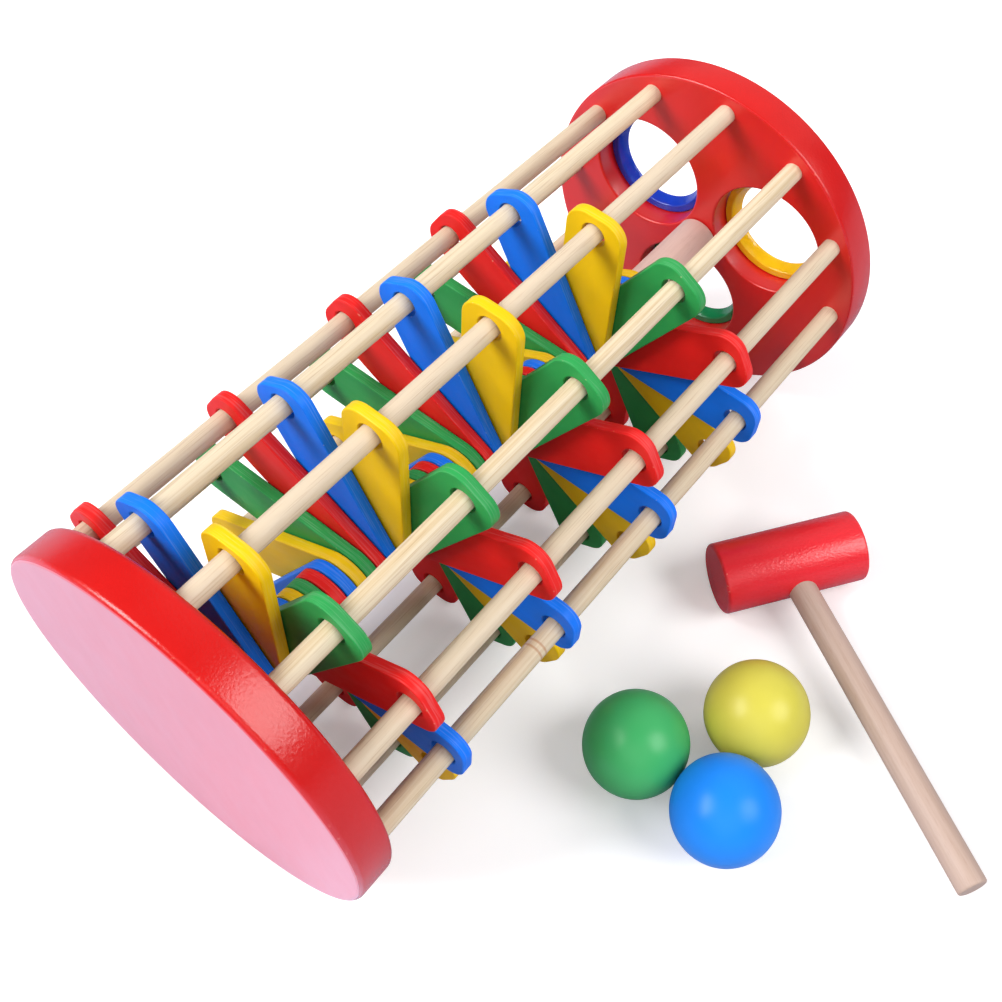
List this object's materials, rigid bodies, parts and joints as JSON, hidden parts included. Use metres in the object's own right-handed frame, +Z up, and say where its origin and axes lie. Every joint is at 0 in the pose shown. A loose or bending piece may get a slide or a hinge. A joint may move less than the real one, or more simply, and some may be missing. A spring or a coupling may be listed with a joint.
{
  "type": "pound and roll tower",
  "caption": "Wooden pound and roll tower lying on its side: a spiral stair of coloured leaves in a dowel cage between red discs, with loose balls and a hammer.",
  "frame": {"origin": "middle of the whole set's outline, on the floor it lies on", "axes": "+X along the lying tower from its base to its top disc, +Z up from the floor, +Y from the hammer towards the tower"},
  "size_m": [0.2566, 0.25, 0.125],
  "materials": {
    "paint_red": "satin red paint on wood",
    "paint_blue": "satin blue paint on wood",
    "paint_yellow": "satin yellow paint on wood",
    "paint_green": "satin green paint on wood",
    "beech": "bare sanded pale wood",
    "ball_green_paint": "matt green paint on wood",
    "ball_yellow_paint": "matt yellow paint on wood",
    "ball_blue_paint": "matt blue paint on wood",
    "ring_blue_plastic": "glossy blue plastic",
    "ring_yellow_plastic": "glossy yellow plastic",
    "ring_green_plastic": "glossy green plastic"
  },
  "bodies": {
    "tower": {"base_with_dowels": "paint_red", "centre_post": "beech", "gate_dowel": "beech", "leaf_01_green": "paint_green", "leaf_02_red": "paint_red", "leaf_03_blue": "paint_blue", "leaf_04_yellow": "paint_yellow", "leaf_05_green": "paint_green", "leaf_06_red": "paint_red", "leaf_07_blue": "paint_blue", "leaf_08_yellow": "paint_yellow", "leaf_09_green": "paint_green", "leaf_10_red": "paint_red", "leaf_11_blue": "paint_blue", "leaf_12_yellow": "paint_yellow", "leaf_13_green": "paint_green", "leaf_14_red": "paint_red", "leaf_15_blue": "paint_blue", "leaf_16_yellow": "paint_yellow", "leaf_17_green": "paint_green", "leaf_18_red": "paint_red", "leaf_19_blue": "paint_blue", "leaf_20_yellow": "paint_yellow", "leaf_21_green": "paint_green", "leaf_22_red": "paint_red", "leaf_23_blue": "paint_blue", "leaf_24_yellow": "paint_yellow", "leaf_25_green": "paint_green", "leaf_26_red": "paint_red", "leaf_27_blue": "paint_blue", "leaf_28_yellow": "paint_yellow", "leaf_29_green": "paint_green", "leaf_30_red": "paint_red", "leaf_31_blue": "paint_blue", "leaf_32_yellow": "paint_yellow", "leaf_33_green": "paint_green", "leaf_34_red": "paint_red", "leaf_35_blue": "paint_blue", "leaf_36_yellow": "paint_yellow", "leaf_37_green": "paint_green", "leaf_38_red": "paint_red", "leaf_39_blue": "paint_blue", "leaf_40_yellow": "paint_yellow", "leaf_41_green": "paint_green", "leaf_42_red": "paint_red", "leaf_43_blue": "paint_blue", "leaf_44_yellow": "paint_yellow", "leaf_45_green": "paint_green", "leaf_46_red": "paint_red", "leaf_47_blue": "paint_blue", "leaf_48_yellow": "paint_yellow", "ring_blue": "ring_blue_plastic", "ring_green": "ring_green_plastic", "ring_yellow": "ring_yellow_plastic", "top_disc": "paint_red"},
    "loose_ball_green": {"ball_green": "ball_green_paint"},
    "loose_ball_yellow": {"ball_yellow": "ball_yellow_paint"},
    "loose_ball_blue": {"ball_blue": "ball_blue_paint"},
    "loose_hammer": {"hammer_head": "paint_red", "hammer_handle": "beech"}
  },
  "joints": [
    {"name": "ball_green_lift", "type": "slide", "parent": "tower", "child": "loose_ball_green", "axis": [0, 0, 1], "range_m": [0, 0.12]},
    {"name": "ball_yellow_lift", "type": "slide", "parent": "tower", "child": "loose_ball_yellow", "axis": [0, 0, 1], "range_m": [0, 0.12]},
    {"name": "ball_blue_lift", "type": "slide", "parent": "tower", "child": "loose_ball_blue", "axis": [0, 0, 1], "range_m": [0, 0.12]},
    {"name": "hammer_lift", "type": "slide", "parent": "tower", "child": "loose_hammer", "axis": [0, -0.6, 0.8], "range_m": [0, 0.12]}
  ]
}
